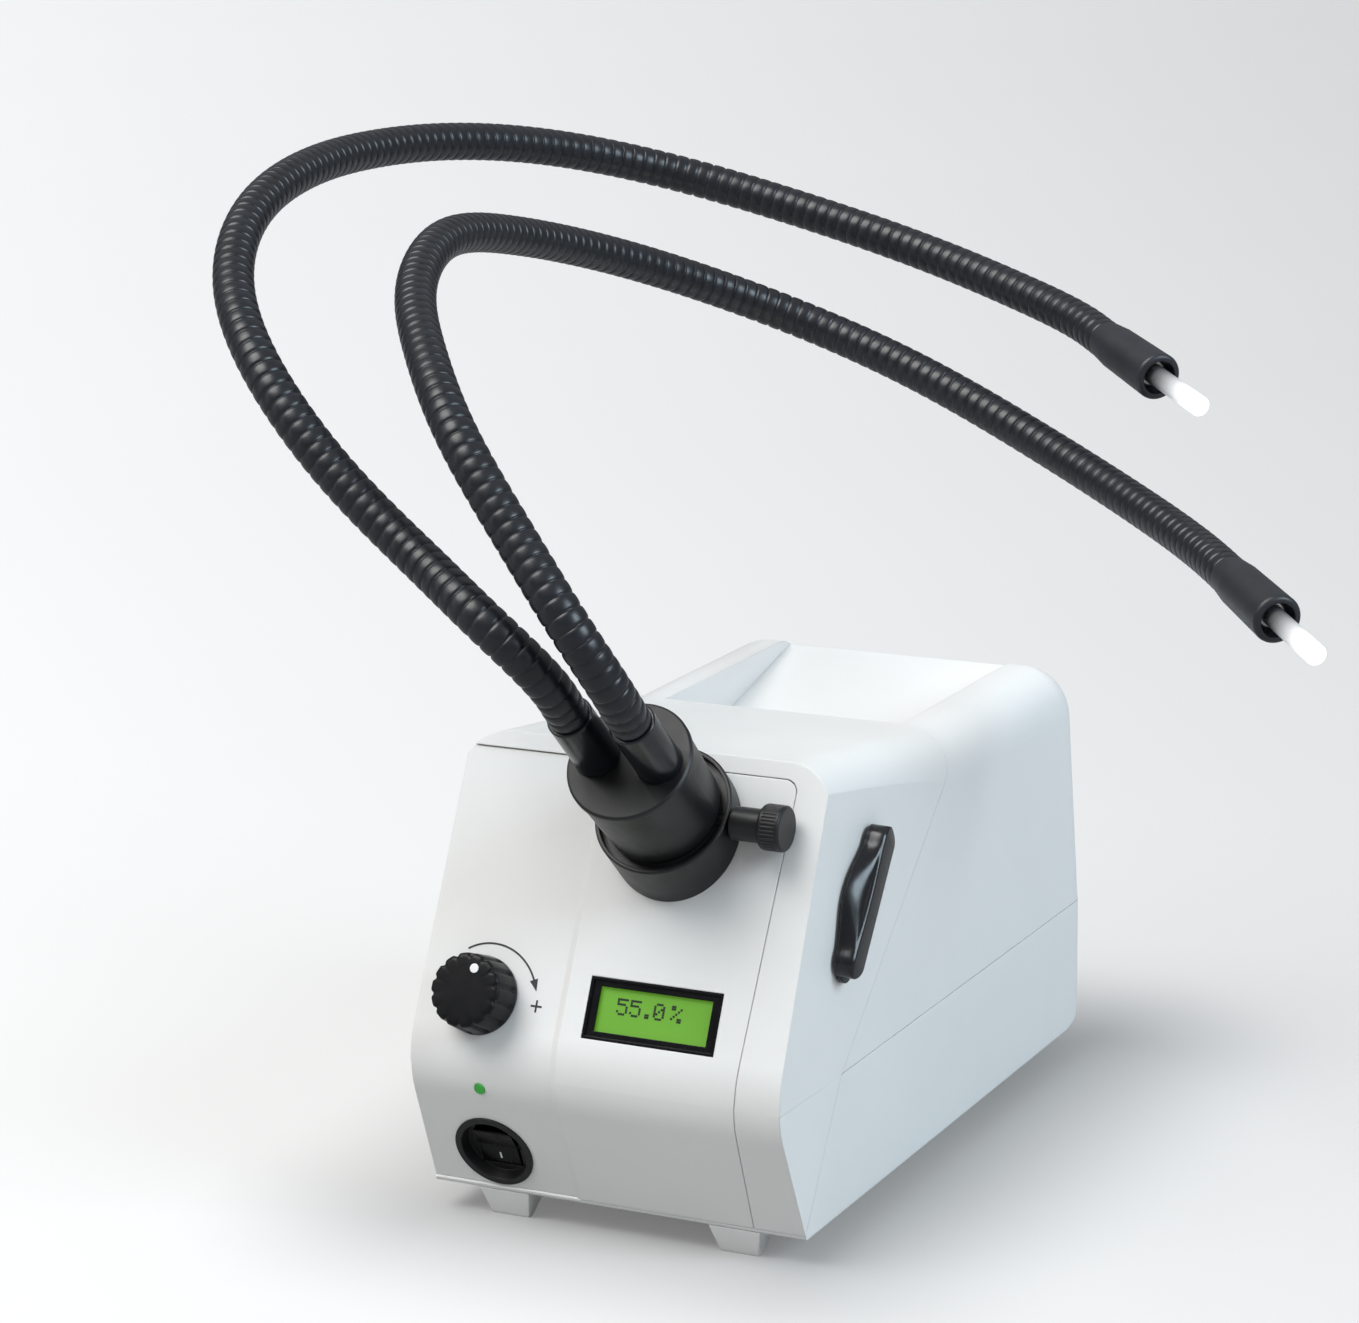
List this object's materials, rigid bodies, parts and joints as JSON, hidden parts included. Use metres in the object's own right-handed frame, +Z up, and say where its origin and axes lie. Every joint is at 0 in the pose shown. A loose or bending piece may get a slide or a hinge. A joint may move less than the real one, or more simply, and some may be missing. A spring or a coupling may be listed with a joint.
{
  "type": "fiber optic illuminator",
  "caption": "Bench light source with a sloped control panel, display and knob, feeding a light guide whose two ribbed gooseneck arms carry light to their tips.",
  "frame": {"origin": "on the bench under the housing, 151 mm behind the knee of its front", "axes": "+Z up, +X to the right as seen from the front, +Y towards the back; the control panel faces -Y"},
  "size_m": [0.4285, 0.389, 0.392],
  "materials": {
    "housing_white": "satin moulded, warm white",
    "panel_white": "satin moulded, warm white",
    "foot_plastic": "fine matt, light grey",
    "foot_rubber": "matt black",
    "zinc_steel": "zinc-plated sheet and screws",
    "black_anodised": "black satin",
    "black_plastic": "black, fine grain",
    "black_gloss": "black, smooth",
    "knob_black": "black, fine grain",
    "hose_black": "blue-black satin ribbed metal hose",
    "nickel": "satin nickel",
    "clear_lens": "clear polished",
    "display_window": "clear window",
    "display_green": "green backlit display on its board",
    "led_green": "green lamp",
    "board_green": "circuit board",
    "aluminium_raw": "extruded",
    "heat_glass": "heat-absorbing filter",
    "brass_pins": "plated contacts",
    "fibre_bundle": "sheathed glass fibres",
    "component_mix": "wound parts and capacitors"
  },
  "bodies": {
    "housing": {"base_shell": "housing_white", "top_cover": "housing_white", "front_frame": "housing_white", "front_panel": "panel_white", "rear_panel": "zinc_steel", "front_feet": "foot_plastic", "rear_feet": "foot_rubber", "base_screws": "zinc_steel", "chassis_plate": "zinc_steel", "potentiometer": "zinc_steel", "switch_bezel": "black_plastic", "switch_body": "black_plastic", "display_frame": "black_gloss", "lcd_glass": "display_window", "lcd_module": "display_green", "status_led": "led_green", "port_collar": "black_anodised", "filter_guide": "black_plastic", "lens_barrel": "black_anodised", "condenser_lens": "clear_lens", "led_board": "board_green", "heat_sink": "aluminium_raw", "fan_frame": "black_plastic", "engine_bracket": "zinc_steel", "power_board": "board_green", "power_parts": "component_mix", "inlet_socket": "black_plastic", "inlet_pins": "brass_pins"},
    "knob": {"intensity_knob": "knob_black", "pot_shaft": "nickel"},
    "rocker": {"power_rocker": "black_gloss"},
    "filter": {"filter_slide": "black_plastic", "filter_grip": "black_plastic", "filter_glass": "heat_glass"},
    "fan": {"fan_rotor": "black_plastic"},
    "drawer": {"fuse_drawer": "black_plastic"},
    "pad": {"lock_pad": "brass_pins"},
    "screw": {"lock_screw": "black_anodised"},
    "plug": {"guide_plug": "nickel"},
    "head": {"guide_head": "black_anodised", "arm_ferrules": "black_anodised", "head_fibres": "fibre_bundle", "left_hose_stub": "hose_black", "right_hose_stub": "hose_black", "left_fibres_stub": "fibre_bundle", "right_fibres_stub": "fibre_bundle"},
    "left_reach": {"left_hose_reach": "hose_black", "left_fibres_reach": "fibre_bundle"},
    "left_tip": {"left_hose_tip": "hose_black", "left_fibres_tip": "fibre_bundle", "left_sleeve": "black_anodised", "left_tip_rod": "nickel", "left_tip_lens": "clear_lens"},
    "right_reach": {"right_hose_reach": "hose_black", "right_fibres_reach": "fibre_bundle"},
    "right_tip": {"right_hose_tip": "hose_black", "right_fibres_tip": "fibre_bundle", "right_sleeve": "black_anodised", "right_tip_rod": "nickel", "right_tip_lens": "clear_lens"}
  },
  "joints": [
    {"name": "knob_turn", "type": "hinge", "parent": "housing", "child": "knob", "pos_m": [-0.05, -0.13925, 0.09206], "axis": [0, -0.9041, 0.4274], "range_deg": [-135, 165]},
    {"name": "rocker_tip", "type": "hinge", "parent": "housing", "child": "rocker", "pos_m": [-0.0483, -0.13026, 0.03139], "axis": [1, 0, 0], "range_deg": [-18, 0]},
    {"name": "filter_pull", "type": "slide", "parent": "housing", "child": "filter", "axis": [1, 0, 0], "range_m": [0, 0.03]},
    {"name": "fan_spin", "type": "hinge", "parent": "housing", "child": "fan", "pos_m": [0.0165, -0.00879, 0.06354], "axis": [0, -0.7314, 0.682], "continuous": true},
    {"name": "fuse_pull", "type": "slide", "parent": "housing", "child": "drawer", "axis": [0, 1, 0], "range_m": [0, 0.012]},
    {"name": "lock_press", "type": "slide", "parent": "housing", "child": "pad", "axis": [1, 0, 0], "range_m": [0, 0.0012]},
    {"name": "lock_turn", "type": "hinge", "parent": "pad", "child": "screw", "pos_m": [0.0445, -0.11564, 0.16318], "axis": [1, 0, 0], "range_deg": [0, 540]},
    {"name": "guide_slide", "type": "slide", "parent": "housing", "child": "plug", "axis": [0, -0.7314, 0.682], "range_m": [0, 0.045]},
    {"name": "guide_turn", "type": "hinge", "parent": "plug", "child": "head", "pos_m": [0.0165, -0.14562, 0.19115], "axis": [0, -0.7314, 0.682], "range_deg": [-15, 20]},
    {"name": "left_arm_base", "type": "hinge", "parent": "head", "child": "left_reach", "pos_m": [-0.0065, -0.18985, 0.24034], "axis": [0.7482, -0.2307, 0.6221], "range_deg": [-12, 15]},
    {"name": "left_arm_bend", "type": "hinge", "parent": "left_reach", "child": "left_tip", "pos_m": [-0.15195, 0.13369, 0.37355], "axis": [0.8871, -0.4615, 0], "range_deg": [-6, 20]},
    {"name": "right_arm_base", "type": "hinge", "parent": "head", "child": "right_reach", "pos_m": [0.02226, -0.1898, 0.24237], "axis": [0.8968, -0.1353, 0.4213], "range_deg": [-10, 12]},
    {"name": "right_arm_bend", "type": "hinge", "parent": "right_reach", "child": "right_tip", "pos_m": [-0.0685, 0.12595, 0.31714], "axis": [0.6862, -0.7274, 0], "range_deg": [-20, 6]}
  ],
  "couplings": [
    {"joint": "lock_turn", "follows": "lock_press", "rad_per_m": 7854}
  ]
}
